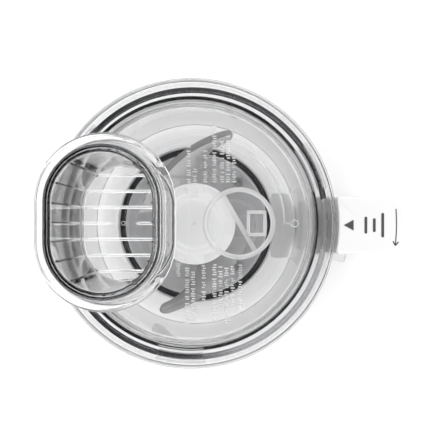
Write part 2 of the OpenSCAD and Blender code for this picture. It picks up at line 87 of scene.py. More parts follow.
class Graph:
    """The node tree of a new material or of the world."""

    def __init__(self, owner):
        owner.use_nodes = True
        self.owner, self.tree = owner, owner.node_tree
        self.tree.nodes.clear()

    def node(self, kind, settings=None, inputs=None, output=0):
        made = self.tree.nodes.new(kind)
        for key, value in (settings or {}).items():
            setattr(made, key, value)
        for key, value in (inputs or {}).items():
            if isinstance(value, Value):
                self.tree.links.new(value.socket, made.inputs[key])
            else:
                made.inputs[key].default_value = value
        return Value(self, made.outputs[output])

    def place(self, scale=(1, 1, 1)):
        """Object coordinates, stretched."""
        at = self.node("ShaderNodeTexCoord", output="Object")
        return self.node("ShaderNodeMapping", {"vector_type": "POINT"}, {"Vector": at, "Scale": scale})

    def noise(self, size, scale=(1, 1, 1), detail=3.0):
        """Noise from 0 to 1, whose features are about size metres across."""
        return self.node("ShaderNodeTexNoise", {}, {
            "Vector": self.place(scale), "Scale": 1 / size, "Detail": detail})

    def mix(self, factor, low, high):
        """A colour between two colours."""
        return self.node("ShaderNodeMix", {"data_type": "RGBA"}, {
            "Factor": factor, 6: low, 7: high}, output=2)

    def part(self, coordinates, axis):
        """One axis of the object's or the dome's own coordinates."""
        at = self.node("ShaderNodeTexCoord", output=coordinates)
        return self.node("ShaderNodeSeparateXYZ", {}, {"Vector": at}, output=axis)

    def bump(self, height, strength, distance):
        """A normal bent by a height."""
        return self.node("ShaderNodeBump", {}, {
            "Height": height, "Strength": strength, "Distance": distance})

    def output(self, surface, volume=None):
        kind = "Material" if isinstance(self.owner, bpy.types.Material) else "World"
        out = self.tree.nodes.new("ShaderNodeOutput" + kind)
        self.tree.links.new(surface.socket, out.inputs["Surface"])
        if volume:
            self.tree.links.new(volume.socket, out.inputs["Volume"])


def principled(graph, **inputs):
    """The Principled shader. An underscore stands for a space in an input's name."""
    return graph.node("ShaderNodeBsdfPrincipled", {}, {k.replace("_", " "): v for k, v in inputs.items()})


def new_material(name):
    """A material and the graph that fills it."""
    made = bpy.data.materials.new(name)
    return made, Graph(made)


# %% [markdown]
# Clear plastic. A thin wall of it is nearly invisible from the front and almost black from the end,
# because light then travels through a hand's width of material. A little absorption in the volume
# gives both from one number. The surface gets the faint uneven polish of a moulding. The low relief on
# the lid is etched in the mould, so it scatters some light and looks milky.

# %% Clear plastic
def clear_plastic(name, density, roughness=0.008, clarity=1.0):
    """A refracting solid whose volume absorbs a little. Less clarity makes it milky."""
    m, g = new_material(name)
    polish = g.noise(0.012) * 0.02 + roughness
    surface = principled(
        g, Base_Color=(0.99, 0.99, 0.992, 1), Roughness=polish, IOR=1.5, Transmission_Weight=clarity)
    volume = g.node("ShaderNodeVolumeAbsorption", {}, {"Color": (0.42, 0.43, 0.45, 1), "Density": density})
    g.output(surface, volume)
    return m


clear = clear_plastic("clear_plastic", 7.0)
deep = clear_plastic("tube_plastic", 30.0)
frosted = clear_plastic("relief_plastic", 7.0, 0.35, 0.88)
etched = clear_plastic("stroke_plastic", 7.0, 0.35, 0.72)
print("clear plastics:", [m.name for m in (clear, deep, frosted, etched)])

# %% [markdown]
# White mouldings. The handle is glossier than the hub, and both carry the fine grain of a spark-eroded
# mould, far smaller than a millimetre, with a slow drift in tone where hands and heat have been. A faint
# glow is painted light: it stands in for light that reaches them, and the grey collar and plate too,
# through the clear walls after more bounces than are traced.

# %% White and grey plastic
def moulded(name, colour, roughness, glow=0.0, grain=0.0005, depth=0.00003):
    """Opaque plastic or rubber with a fine grain, in metres, and a slow drift in tone."""
    m, g = new_material(name)
    drift = g.noise(0.03)
    fine = g.noise(grain, detail=2.0)
    dark = tuple(c * 0.965 for c in colour)
    g.output(principled(
        g, Base_Color=g.mix(drift, (*dark, 1), (*colour, 1)),
        Roughness=fine * 0.08 + (roughness - 0.04), Emission_Color=(1, 1, 1, 1), Emission_Strength=glow,
        Normal=g.bump(fine, 0.25, depth)))
    return m


# Every glow below is painted light, for bounces through the clear walls that are not traced.
white_gloss = moulded("white_gloss", (0.5, 0.5, 0.5), 0.22, 0.13)
white_plastic = moulded("white_plastic", (0.94, 0.94, 0.94), 0.38, 0.12)
grey_plastic = moulded("grey_plastic", (0.95, 0.95, 0.955), 0.42, 0.12)
grey_metal = moulded("grey_metal", (0.8, 0.8, 0.81), 0.35, 0.1)
black_rubber = moulded("black_rubber", (0.05, 0.05, 0.052), 0.4)
mark_grey = moulded("mark_grey", (0.03, 0.03, 0.032), 0.5)
mouldings = (white_gloss, white_plastic, grey_plastic, grey_metal, black_rubber, mark_grey)
print("mouldings:", [m.name for m in mouldings])

# %% [markdown]
# The knife is rolled stainless steel: long fine lines from the rolling along the blade, with a soft
# sheen across them. The spindle and screws are the same metal with finer lines. The lower blade
# takes a darker copy of the blade's steel, which is painted shade for its place deeper in the bowl,
# and the ground bevel's steel is darker than the plain metal, which is painted shade as well.

# %% Steel
def steel(name, colour, roughness, stretch):
    """Metal with fine lines. An axis with a small stretch is the one the lines run along."""
    m, g = new_material(name)
    lines = g.noise(0.0012, stretch, detail=4.0)
    cloud = g.noise(0.02)
    dark = tuple(c * 0.82 for c in colour)
    g.output(principled(
        g, Base_Color=g.mix(cloud, (*dark, 1), (*colour, 1)), Metallic=1.0,
        Roughness=lines * 0.18 + roughness, Normal=g.bump(lines, 0.3, 0.00004)))
    return m


blade_steel = steel("blade_steel", (0.7, 0.69, 0.69), 0.3, (0.08, 1, 1))
# A darker copy of the blade steel: painted shade for the lower blade, which lies deeper in the bowl.
painted_shade_steel = steel("painted_shade_steel", (0.45, 0.45, 0.45), 0.34, (0.08, 1, 1))
# The ground bevel: lines that run across the blade, and a darker colour that is painted shade for the slope.
ground_steel_painted_dark = steel("ground_steel_painted_dark", (0.27, 0.27, 0.27), 0.25, (1, 0.3, 1))
screw_steel = steel("screw_steel", (0.6, 0.6, 0.61), 0.3, (1, 1, 0.2))
spindle_steel = steel("spindle_steel", (0.62, 0.62, 0.63), 0.22, (1, 1, 0.05))
bronze = steel("bronze", (0.55, 0.4, 0.2), 0.4, (1, 1, 1))
metals = (blade_steel, painted_shade_steel, ground_steel_painted_dark, screw_steel, spindle_steel, bronze)
print("metals:", [m.name for m in metals])

# %% [markdown]
# Every piece is a surface over two parameters. One runs round a closed curve, the other steps from
# curve to curve. The helper below takes the finished grid of points, joins it up, closes the ends
# and turns the faces outwards.

# %% Grids into meshes
def stack(levels):
    """Grid of closed outlines, each given as (outline, height)."""
    return np.array([np.column_stack([outline, np.full(len(outline), z)]) for outline, z in levels])


def link(name, verts, faces, material, body, nodes=()):
    """A piece that rides on a body and replaces CAD nodes. Its quads are smooth, its end caps flat."""
    mesh = bpy.data.meshes.new(name)
    mesh.from_pydata(verts.tolist(), [], faces)
    mesh.validate()
    mesh.polygons.foreach_set("use_smooth", np.array([len(p.vertices) == 4 for p in mesh.polygons]))
    mesh.materials.append(material)
    piece = bpy.data.objects.new(name, mesh)
    bpy.context.scene.collection.objects.link(piece)
    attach(piece, body)
    if nodes:
        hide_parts(*nodes)
    print(f"{name}: {len(verts)} points, {len(faces)} faces")
    return piece


def grid(points, loop):
    """Points and faces of a grid P[v, u]. It always closes in u; loop closes it in v too,
    and otherwise a centre point closes each end."""
    levels, around = points.shape[:2]
    index = np.arange(levels * around).reshape(levels, around)
    low = index if loop else index[:-1]
    high = np.roll(index, -1, 0) if loop else index[1:]
    quads = np.stack([low, np.roll(low, -1, 1), np.roll(high, -1, 1), high], -1).reshape(-1, 4)
    verts = points.reshape(-1, 3)
    faces = quads.tolist()
    if not loop:
        ends = np.array([points[0].mean(0), points[-1].mean(0)])
        verts = np.vstack([verts, ends])
        n = levels * around
        first, last = index[0], index[-1]
        faces += np.stack([np.roll(first, -1), first, np.full(around, n)], -1).tolist()
        faces += np.stack([last, np.roll(last, -1), np.full(around, n + 1)], -1).tolist()
    a, b, c = verts[quads[:, 0]], verts[quads[:, 1]], verts[quads[:, 2]]
    d = verts[quads[:, 3]]
    volume = np.einsum("ij,ij->i", a, np.cross(b, c) + np.cross(c, d)).sum()
    if volume < 0:
        faces = [f[::-1] for f in faces]
    return verts, faces


def shell(name, points, material, body, nodes=(), loop=True):
    """One closed piece from a grid of points in millimetres."""
    verts, faces = grid(np.asarray(points, float), loop)
    return link(name, verts * MM, faces, material, body, nodes)


def several(name, grids, material, body, nodes=()):
    """One piece from several closed grids, each given as (points, loop)."""
    all_verts, all_faces, count = [], [], 0
    for points, loop in grids:
        verts, faces = grid(np.asarray(points, float), loop)
        all_faces += [[i + count for i in f] for f in faces]
        all_verts.append(verts)
        count += len(verts)
    return link(name, np.vstack(all_verts) * MM, all_faces, material, body, nodes)


# %% [markdown]
# A mould never leaves a knife edge, and a rounded edge is where a clear part catches its bright and
# dark lines. So each profile's corners are arcs. A guard point just before and after each arc keeps
# the flat beside it truly flat, because smooth shading would otherwise bend it.

# %% Rounded profiles
def rounded(points, radii, loop=True, steps=4):
    """The polyline with each corner replaced by an arc of its radius, tangent to both sides."""
    corners = np.array(points, float)
    out = []
    for i, corner in enumerate(corners):
        radius = radii if np.isscalar(radii) else radii[i]
        ends = not loop and i in (0, len(corners) - 1)
        back, ahead = corners[i - 1] - corner, corners[(i + 1) % len(corners)] - corner
        back_len, ahead_len = np.linalg.norm(back), np.linalg.norm(ahead)
        if ends or radius <= 0 or min(back_len, ahead_len) < 1e-9:
            out.append(corner)
            continue
        back, ahead = back / back_len, ahead / ahead_len
        angle = math.acos(float(np.clip(back @ ahead, -1, 1)))
        if angle > 3.1:
            out.append(corner)
            continue
        reach = min(radius / math.tan(angle / 2), 0.42 * back_len, 0.42 * ahead_len)
        bisector = (back + ahead) / np.linalg.norm(back + ahead)
        centre = corner + bisector * reach / math.cos(angle / 2)
        start, end = corner + back * reach - centre, corner + ahead * reach - centre
        turn = math.pi - angle
        w = np.linspace(0, 1, steps + 1)[:, None]
        arc = centre + (np.sin((1 - w) * turn) * start + np.sin(w * turn) * end) / math.sin(turn)
        guard = min(0.18 * reach, 0.1 * min(back_len, ahead_len))
        out.append(corner + back * (reach + guard))
        out.extend(arc)
        out.append(corner + ahead * (reach + guard))
    return np.array(out)


print("a rounded square has", len(rounded([(0, 0), (4, 0), (4, 4), (0, 4)], 1.0)), "points")

# %% [markdown]
# Most of the object is turned: bowl, seal, collar, lid, hub and cap. A lathe carries a profile round the
# axis, and where something swells out of a wall, such as a lug, it blends two profiles by angle.

# %% Turned surfaces
def circle_angles(count, edges=()):
    """Angles round the circle, with a few more beside each edge, given in degrees."""
    extra = [math.radians(e + d) for e in edges for d in (-0.4, -0.3, -0.1, 0.1, 0.3, 0.4)]
    plain = np.linspace(0, 2 * math.pi, count, endpoint=False)
    return np.unique(np.round(np.concatenate([plain, np.mod(extra, 2 * math.pi)]), 6))


def lathe(profile, count=240, other=None, share=None, edges=()):
    """Grid of a profile (radius, height) carried round the axis. Where share, a function of the
    angle, is 1 it becomes the other profile, and that is how a lug grows out of a wall."""
    angle = circle_angles(count, edges)[None, :]
    part = share(angle) if share else np.zeros_like(angle)
    step = profile - profile if other is None else other - profile
    radius = profile[:, :1] + step[:, :1] * part
    height = profile[:, 1:2] + step[:, 1:2] * part
    return np.stack([radius * np.cos(angle), radius * np.sin(angle), height], -1)


def window(angle, centre, span, edge=0.6):
    """1 inside a span of angle about a centre and 0 outside, with soft ends; all in degrees."""
    away = np.abs((np.degrees(angle) - centre + 180) % 360 - 180)
    t = np.clip((span / 2 + edge / 2 - away) / edge, 0, 1)
    return t * t * (3 - 2 * t)


print("a turned grid has the shape", lathe(rounded([(1, 0), (2, 0), (2, 1), (1, 1)], 0.2)).shape)

# %% [markdown]
# The bowl is one moulding: a drafted wall, a floor, a hollow boss in the middle for the spindle, and
# outside, near the top, a drip ledge and three bayonet lugs. The ledge is seen as a black ring,
# because its slanting underside reflects the studio's dark edge straight up. It could be cut and
# joined from primitives, but overlapping clear solids show false inner faces, so it is one closed
# lathe profile. The lugs are places where the profile's radius swells over a short span of angle.

# %% The bowl's section
lid_low, lid_high = box("lid")
bowl_low, bowl_high = box("bowl")
lid_r, rim_z, skirt_z = -lid_low[0], lid_high[2], lid_low[2]
floor_z = box("bowl_seal")[1][2]
rim_top = bowl_high[2]
boss_r, bush_r = 11.0, -box("bush")[0][1]
boss_top = box("shaft_seal")[1][2] + 0.2
bowl_r = lid_r - 11.5
wall_t, floor_t, draft = 2.5, 3.0, 3.0
inner_r = bowl_r - wall_t
low_r = bowl_r - draft
LUGS = (25, 145, 265)
lug_span = 20
lug_z = rim_z - 12
lug_reach = lid_r - 2.2 - 1.8 - bowl_r


def wall_at(z):
    """Outer radius of the drafted wall at a height."""
    return low_r + draft * (z - floor_z) / (rim_top - floor_z)


ledge_r = lid_r - 1.2
ledge_top = skirt_z - 0.3
ledge_root = ledge_top - 1.6
drip_r = ledge_r - 5.4
ledge_low = ledge_root - (ledge_r - 0.8 - drip_r) * math.tan(math.radians(40))


def bowl_profile(reach):
    """Outer wall up, with the drip ledge and a lug of the given reach, over the rim, down inside
    and round the boss."""
    lug_top = lug_z + 3.5
    outer = [
        (bush_r, floor_z), (low_r, floor_z), (wall_at(ledge_root), ledge_root), (drip_r, ledge_root),
        (ledge_r - 0.8, ledge_low), (ledge_r, ledge_low), (ledge_r, ledge_top),
        (wall_at(ledge_top), ledge_top), (wall_at(lug_z), lug_z), (wall_at(lug_z) + reach, lug_z),
        (wall_at(lug_top) + reach, lug_top), (wall_at(lug_top), lug_top),
        (bowl_r, rim_top), (inner_r, rim_top), (low_r - wall_t, floor_z + floor_t),
        (boss_r, floor_z + floor_t), (boss_r, boss_top), (bush_r, boss_top)]
    radii = [0.4, 0.7, 0.4, 0.15, 0.15, 0.15, 0.3, 0.4, 0.3, 0.3, 0.3, 0.3, 0.35, 0.35, 2.5, 2.0, 0.8, 0.4]
    return rounded(outer, radii)


def lug_share(angle):
    return sum(window(angle, c, lug_span) for c in LUGS)


lug_edges = [c + side * lug_span / 2 for c in LUGS for side in (-1, 1)]
print("bowl radius", round(bowl_r, 1), "at the rim, wall", wall_t, "and", len(bowl_profile(0.02)), "points")

# %% [markdown]
# Square-edged pieces are slabs: a closed outline with every edge rounded, top and bottom. The outline
# is stepped inwards along its own normals as the edge turns over, which is what a moulder's fillet is.

# %% Slabs
def normals(outline):
    """Outward normals of a closed anticlockwise outline, from its neighbours."""
    along = np.roll(outline, -1, 0) - np.roll(outline, 1, 0)
    out = np.stack([along[:, 1], -along[:, 0]], -1)
    return out / np.maximum(np.linalg.norm(out, axis=1, keepdims=True), 1e-9)


def slab(outline, low, high, edge=0.4, steps=4):
    """Grid of a closed outline from height low to high, whose two rims are quarter arcs."""
    outline = np.asarray(outline, float)
    n = normals(outline)
    t = np.linspace(0, math.pi / 2, steps + 1)
    inset = edge * (1 - np.sin(t))
    rise = edge * (1 - np.cos(t))
    steps_in = np.concatenate([[edge * 1.25], inset, inset[::-1], [edge * 1.25]])
    heights = np.concatenate([[low], low + rise, high - rise[::-1], [high]])
    flat = outline[None] - n[None] * steps_in[:, None, None]
    z = np.repeat(heights[:, None], len(outline), 1)[..., None]
    return np.concatenate([flat, z], -1)


def rectangle(low, high, radius, steps=4):
    """Anticlockwise outline of a rectangle with round corners."""
    (x0, y0), (x1, y1) = low, high
    return rounded([(x0, y0), (x1, y0), (x1, y1), (x0, y1)], radius, steps=steps)


def disc(centre, radius, count=24):
    """Anticlockwise outline of a circle."""
    a = circle_angles(count)
    return np.stack([centre[0] + radius * np.cos(a), centre[1] + radius * np.sin(a)], -1)


print("a slab's grid has the shape", slab(disc((0, 0), 2.0), 0, 1).shape)


# %% [markdown]
# The posts that take the collar's screws and the two tongues that carry the handle belong to the
# bowl. They stand a hair clear of it, so that no clear solid overlaps another.

# %% The bowl with its posts and tongues
HAIR = 0.04
handle_y = -1.2
ear_z = 8.0
screws = box("collar_screws")
post_at = screws[1][0] - 3.0
posts = [(x * post_at, y * post_at) for x in (-1, 1) for y in (-1, 1)]
grip_x = box("handle_cover")[0][0]
tongue_x = bowl_high[0]
foot_z = box("handle_shell")[0][2]
upper_tongue = rim_z - 18.5 - 12.5 + 2.2
lower_tongue = foot_z + 3
tongue_t, tongue_w = 5.8, 16
count = 360
parts = [(lathe(bowl_profile(0.02), count, bowl_profile(lug_reach), lug_share, lug_edges), True)]
parts += [(slab(disc(p, 4.0), ear_z, floor_z - HAIR, 0.3), False) for p in posts]
for z in (upper_tongue, lower_tongue):
    start = wall_at(z + tongue_t) + 0.4
    parts.append((slab(rectangle(
        (start, handle_y - tongue_w / 2), (tongue_x, handle_y + tongue_w / 2), 1.0),
        z, z + tongue_t, 0.5), False))
several("bowl_shell", parts, clear, "bowl", ["bowl"])

# %% [markdown]
# Under the floor sits the collar that drops on the machine, with a black seal ring in its groove, and
# inside it a grey plate over the drive. The seal's dark circle and the plate's grey disc are the two
# things seen most clearly through the floor.

# %% Seal, collar and plate
def turned(name, node, profile, radii, material, body, count=160):
    """A ring or disc with rounded edges, turned about the axis."""
    return shell(name, lathe(rounded(profile, radii), count), material, body, [node])


seal_low, seal_high = box("bowl_seal")
seal_out = -seal_low[1]
seal_in = seal_out - 4.3
turned("bowl_seal_ring", "bowl_seal", [
    (seal_in, seal_low[2]), (seal_out, seal_low[2]), (seal_out, seal_high[2] - 0.1),
    (seal_out - 1.2, seal_high[2] - 0.1), (seal_out - 1.6, seal_high[2] - 0.5),
    (seal_in + 1.6, seal_high[2] - 0.5), (seal_in + 1.2, seal_high[2] - 0.1),
    (seal_in, seal_high[2] - 0.1)], 0.25, black_rubber, "bowl")

collar_low, collar_high = box("base_collar")
collar_r = -collar_low[1]
collar_in = collar_r - 7.5
plate_low, plate_high = box("base_plate")
plate_r = plate_high[0]
tab_r = low_r + 1.5
collar_parts = [
    (lathe(rounded([
        (collar_in, 0), (collar_r, 0), (collar_r, floor_z - 0.1), (seal_out + HAIR, floor_z - 0.1),
        (seal_out + HAIR, seal_low[2] - HAIR), (seal_in - HAIR, seal_low[2] - HAIR),
        (seal_in - HAIR, floor_z - 0.1), (collar_in, floor_z - 0.1), (collar_in, plate_low[2]),
        (collar_in - 4.5, plate_low[2]), (collar_in - 4.5, plate_low[2] - 2.5),
        (collar_in, plate_low[2] - 2.5)], 0.5), 160), True),
    (slab(rectangle((collar_in + 4, handle_y - 26), (tab_r, handle_y + 26), 3.0),
          6, floor_z - 3, 0.8), False)]
collar_parts += [(slab(disc(p, 5.5), ear_z - 4, ear_z - HAIR, 0.4), False) for p in posts]
several("base_collar_ring", collar_parts, grey_plastic, "bowl", ["base_collar"])

plate_hole, bead_in, bead_out, bead_h = 14.2, 43, 48, 0.7
turned("base_plate_disc", "base_plate", [
    (plate_hole, plate_low[2]), (plate_r, plate_low[2]), (plate_r, plate_high[2]),
    (bead_out, plate_high[2]), (bead_out - 0.6, plate_high[2] + bead_h),
    (bead_in + 0.6, plate_high[2] + bead_h), (bead_in, plate_high[2]),
    (plate_hole, plate_high[2])], 0.3, grey_metal, "bowl")
print("collar radius", round(collar_r, 2), "seal", round(seal_in, 2), "to", round(seal_out, 2))

# %% [markdown]
# The feed tube, its tray and the pusher are all ovals: two half circles with a straight between. One
# formula gives them all, with each point at a fixed share of the way round, so that ovals of
# different sizes match point for point and a profile can be carried round them.

# %% Ovals
tube_low, tube_high = box("feed_tube")
tube_x = (tube_low[0] + tube_high[0]) / 2
tube_r = (tube_high[0] - tube_low[0]) / 2
straight = (tube_high[1] - tube_low[1]) - 2 * tube_r
tube_t = 2.2
turns = np.linspace(0, 1, 600, endpoint=False)
LINE = 0.04


def oval(radius, turns=turns):
    """Closed outline at shares of the way round: half a circle, a straight, and both again."""
    half = (turns % 0.5) * 2
    side = np.where(turns < 0.5, 1, -1)[:, None]
    swing = np.clip(half / (1 - 2 * LINE), 0, 1) * math.pi - math.pi
    climb = np.clip((half - 1 + 2 * LINE) / (2 * LINE), 0, 1)
    x, y = radius * np.cos(swing), radius * np.sin(swing) + straight * (climb - 0.5)
    return side * np.stack([x, y], -1) + (tube_x, 0)


def sweep_oval(profile, turns=np.linspace(0, 1, 200, endpoint=False)):
    """Grid of a profile (radius, height) carried round the oval."""
    return stack([(oval(r, turns), z) for r, z in profile])


print("tube radius", round(tube_r, 2), "with a straight of", round(straight, 2))

# %% [markdown]
# The lid's section. Its rim is a channel that closes over the bowl's edge, with a plug ring inside the
# wall and the skirt outside it. It could be rings joined to a plate, but a moulding has no joints, so
# the section is one line from the plate's top, over the rim and back to the plate's underside.

# %% The lid's section
lid_t = 2.2
plate_z = rim_z - 5.5
plug_out = inner_r - 2.4
plug_in = plug_out - 2.0
skirt_in = lid_r - lid_t
hook_r = bowl_r + 3.5
hook_z = lug_z - 0.3
tab_z, tab_t, tab_out = rim_z - 14, 4.0, lid_high[0]
tab_from, tab_to = -14.5, -3.8


def lid_profile(hook, tab):
    """From the plate up over the rim, down the skirt with its tab and hook, and back under."""
    return rounded([
        (plug_in - 1.3, plate_z), (plug_in, plate_z), (plug_in, rim_z), (lid_r, rim_z),
        (lid_r, tab_z + tab_t), (lid_r + tab, tab_z + tab_t), (lid_r + tab, tab_z), (lid_r, tab_z),
        (lid_r, skirt_z), (skirt_in, skirt_z), (skirt_in, hook_z - 4), (skirt_in - hook, hook_z - 4),
        (skirt_in - hook, hook_z), (skirt_in, hook_z), (skirt_in, rim_z - lid_t),
        (plug_out, rim_z - lid_t), (plug_out, rim_z - 10), (plug_in, rim_z - 10),
        (plug_in, plate_z - lid_t), (plug_in - 1.3, plate_z - lid_t)],
        [0, 1.0, 0.7, 1.4, 0.3, 0.5, 0.5, 0.3, 0.7, 0.7, 0.3, 0.3, 0.3, 0.3, 0.8, 0.8, 0.6, 0.6, 0.8, 0],
        loop=False)


print("lid radius", round(lid_r, 2), "skirt down to", round(skirt_z, 1))

# %% [markdown]
# Round the tube the plate's edge is an oval, and at the rim it is a circle, so the plate is a blend
# between two curves with the same number of points in the same directions. The rest of the lid is the
# section carried round the circle. Hooks and the interlock tab swell out of the skirt as the bowl's
# lugs do out of its wall.

# %% The lid
shift = LINE / 2
stops = np.array(lug_edges + [tab_from, tab_to])
fine = ((stops[:, None] + [-0.4, -0.3, -0.1, 0.1, 0.3, 0.4]) / 360 + 0.5 - shift) % 1
around = np.unique(np.round(np.concatenate([turns, fine.ravel()]), 7))
bearing = (around + shift) * 2 * math.pi - math.pi
circle = np.stack([np.cos(bearing), np.sin(bearing)], -1)
hooks = lug_share(bearing)[None, :, None]
tab = window(bearing, (tab_from + tab_to) / 2, tab_to - tab_from)[None, :, None]
plain = lid_profile(0.02, -0.02)
blended = plain[:, None] + hooks * (lid_profile(skirt_in - hook_r, -0.02) - plain)[:, None] \
    + tab * (lid_profile(0.02, tab_out - lid_r) - plain)[:, None]
rings = np.concatenate([circle[None] * blended[..., :1], blended[..., 1:]], -1)
hole = oval(tube_r + HAIR, around)


def plate_rings(z, steps):
    """Outlines on the plate, from the tube's oval to the circle inside the plug ring."""
    edge = circle * (plug_in - 1.4)
    return stack([(hole + (edge - hole) * t, z) for t in steps])


blend = np.array([0, 0.03, 0.25, 0.5, 0.75, 1])
lid_grid = np.concatenate([plate_rings(plate_z, blend), rings, plate_rings(plate_z - lid_t, blend[::-1])])
shell("lid_cover", lid_grid, clear, "lid", ["lid"])

# %% [markdown]
# On the plate stands low relief, frosted so that it shows: a ring with a bar and a square frame, and a
# thin arc that ends in a small ring. Each is a thin closed band of its own, set a hair above the plate,
# because a texture would stay flat when the lid is seen from the side.

# %% Relief on the lid
relief_z = plate_z + HAIR


def hoop(outer, inner, height):
    """A closed band between two outlines with the same number of points."""
    shoulder, top = relief_z + height - 0.15, relief_z + height
    soft = (inner - outer) * 0.06
    return stack([(outer, relief_z), (outer, shoulder), (outer + soft, top), (inner - soft, top),
                  (inner, shoulder), (inner, relief_z)]), True


def turn_about(outline, angle, centre):
    """The outline turned anticlockwise about a point."""
    c, s = math.cos(angle), math.sin(angle)
    return (np.asarray(outline) - centre) @ np.array([[c, s], [-s, c]]) + centre


def strip(path, half, low, high):
    """A closed bar of a given half width that follows a path; each station is a small rectangle."""
    path = np.asarray(path, float)
    along = np.gradient(path, axis=0)
    across = np.stack([-along[:, 1], along[:, 0]], -1)
    across *= half / np.linalg.norm(across, axis=1, keepdims=True)
    sides = [(path - across, low), (path + across, low),
             (path + across * 0.9, high), (path - across * 0.9, high)]
    return stack(sides).swapaxes(0, 1), False


centre = np.array([31.35, 0.0])
relief = [hoop(disc(centre, 23.8, 120), disc(centre, 20.6, 120), 0.6)]
bar = turn_about(rectangle(centre - (20.5, 1.6), centre + (20.5, 1.6), 0.3), math.radians(-60), centre)
relief.append((slab(bar, relief_z, relief_z + 0.52, 0.15), False))
relief.append(hoop(rectangle(centre + (5, -8.5), centre + (18, 8.5), 0.5),
                   rectangle(centre + (7.2, -6.3), centre + (15.8, 6.3), 0.5), 0.6))
arc_r = 61.3
relief.append(strip(arc_r * disc((0, 0), 1, 360)[0:52], 0.5, relief_z, relief_z + 0.35))
stem = rectangle((arc_r + 0.3, -0.5), (arc_r + 4.2, 0.4), 0.2)
relief.append((slab(stem, relief_z, relief_z + 0.28, 0.1), False))
relief.append(hoop(disc((arc_r + 6.8, 0), 2.6, 32), disc((arc_r + 6.8, 0), 1.9, 32), 0.3))
several("lid_relief", relief, frosted, "lid", ["lid"])

# %% [markdown]
# Two blocks of lines stand where a maker would mould instructions. The lines are short plain strokes
# in groups, which give the texture of lettering and say nothing. Each row has its height across the
# lid and its two ends, and small remainders of the row's number vary the strokes and the gaps.

# %% Strokes
upper = [(-2, 19, 51), (2, 18, 37), (9, 27, 48), (15, 27, 64), (20, 27, 56), (24, 27, 59), (28, 27, 44)]
lower = [(-9, -35, -22), (-3, -66, -27), (1, -64, -29), (8, -52, -27), (15, -64, -27), (19, -54, -27),
         (23, -66, -27), (27, -54, -27), (32, -58, -27)]
strokes = []
for row, (x, start, end) in enumerate(upper + lower):
    y, letter = start, 0
    word = 3 + (5 * row) % 4
    while y < end - 0.6:
        x_low = x - 1.4 + 0.6 * ((letter + row) % 3 == 1)
        x_high = x + 1.4 - 0.6 * ((letter * row) % 4 == 2)
        stroke = np.array([(x_low, y), (x_high, y), (x_high, y + 0.85), (x_low, y + 0.85)])
        inner = stroke.mean(0) + (stroke - stroke.mean(0)) * 0.7
        strokes.append((stack([
            (stroke, relief_z), (stroke, relief_z + 0.3), (inner, relief_z + 0.6)]), False))
        letter += 1
        y += 1.6
        if letter % word == 0:
            y += 1.4
            word = 3 + (word * 3 + row) % 6
several("lid_strokes", strokes, etched, "lid", ["lid"])

# %% [markdown]
# The feed tube stands in the plate's oval hole with a hair of air all round, as a welded joint shows
# a fine line. Its wall is seen nearly end on from above, and that is the heavy dark oval. The tray
# round its top is a gutter at the two round ends and plain wings at the sides, with four small snap
# bosses between.

# %% The feed tube and its tray
tube_top = tube_high[2]
tube_profile = rounded([
    (tube_r, tube_low[2]), (tube_r, tube_top), (tube_r - tube_t, tube_top),
    (tube_r - tube_t, tube_low[2])], [0.6, 0.35, 0.35, 0.6])
shell("feed_tube_wall", sweep_oval(tube_profile), deep, "lid", ["feed_tube"])

tray_low, tray_high = box("tube_tray")
tray_r = (tray_high[0] - tray_low[0]) / 2
tray_z, tray_t = tray_low[2], 2.2
lip_top = tray_high[2]
wing_y = 31.4
LIP = 1000.0
tray_profile = rounded([
    (tube_r + HAIR, tray_z), (tray_r, tray_z), (tray_r, tray_z + tray_t),
    (LIP + tray_r, lip_top), (LIP + tray_r - 1.6, lip_top), (tray_r - 2.2, tray_z + tray_t),
    (tube_r + 1.6, tray_z + tray_t), (tube_r + 1.4, tray_z + tray_t + 1.8),
    (tube_r + HAIR, tray_z + tray_t + 1.8)], [0.6, 0.9, 0, 0, 0, 0, 0.5, 0.5, 0.3])
tray_rings = []
for r, z in tray_profile:
    flat = oval(r - LIP if r > LIP / 2 else r, np.linspace(0, 1, 360, endpoint=False))
    end = np.clip((np.abs(flat[:, 1]) - wing_y) / 1.2 + 0.5, 0, 1)
    height = tray_z + tray_t + (z - tray_z - tray_t) * end if r > LIP / 2 else np.full(len(flat), z)
    tray_rings.append(np.column_stack([flat, height]))
bosses = [(slab(disc((tube_x + x * 28.9, y * wing_y), 1.7, 20), tray_z + tray_t + HAIR,
                tray_z + tray_t + 1.3, 0.4), False) for x in (-1, 1) for y in (-1, 1)]
several("tube_tray_oval", [(np.array(tray_rings), True)] + bosses, clear, "lid", ["tube_tray"])

# %% [markdown]
# The pusher is a hollow oval cup that doubles as a measure. Its wall is one profile carried round the
# oval, ending in a rim that stops it in the tube. Fine ribs run up inside it.

# %% The pusher
pusher_low, pusher_high = box("pusher")
rim_r = (pusher_high[0] - pusher_low[0]) / 2
pusher_r = tube_r - tube_t - 0.5
pusher_in = pusher_r - 2.0
pusher_top, rim_low = pusher_high[2], pusher_high[2] - 3.2
cup = rounded([
    (pusher_r, pusher_low[2]), (pusher_r, rim_low), (rim_r, rim_low), (rim_r, pusher_top),
    (pusher_in, pusher_top), (pusher_in, pusher_low[2])], [0.8, 0.5, 0.6, 1.2, 1.0, 0.6])
ribs = (np.arange(7) - 3) * 10.3
floor_top = box("pusher_floor")[0][2] + 2.0
wall_ribs = []
for y in ribs:
    reach = math.sqrt((pusher_in - 0.1) ** 2 - max(abs(y) - straight / 2, 0) ** 2)
    for side in (-1, 1):
        x_far, x_near = tube_x + side * reach, tube_x + side * (reach - 0.9)
        low, high = (min(x_far, x_near), y - 0.45), (max(x_far, x_near), y + 0.45)
        wall_ribs.append((slab(rectangle(low, high, 0.2), floor_top + 2, rim_low, 0.15), False))
several("pusher_cup", [(sweep_oval(cup), True)] + wall_ribs, clear, "pusher", ["pusher"])

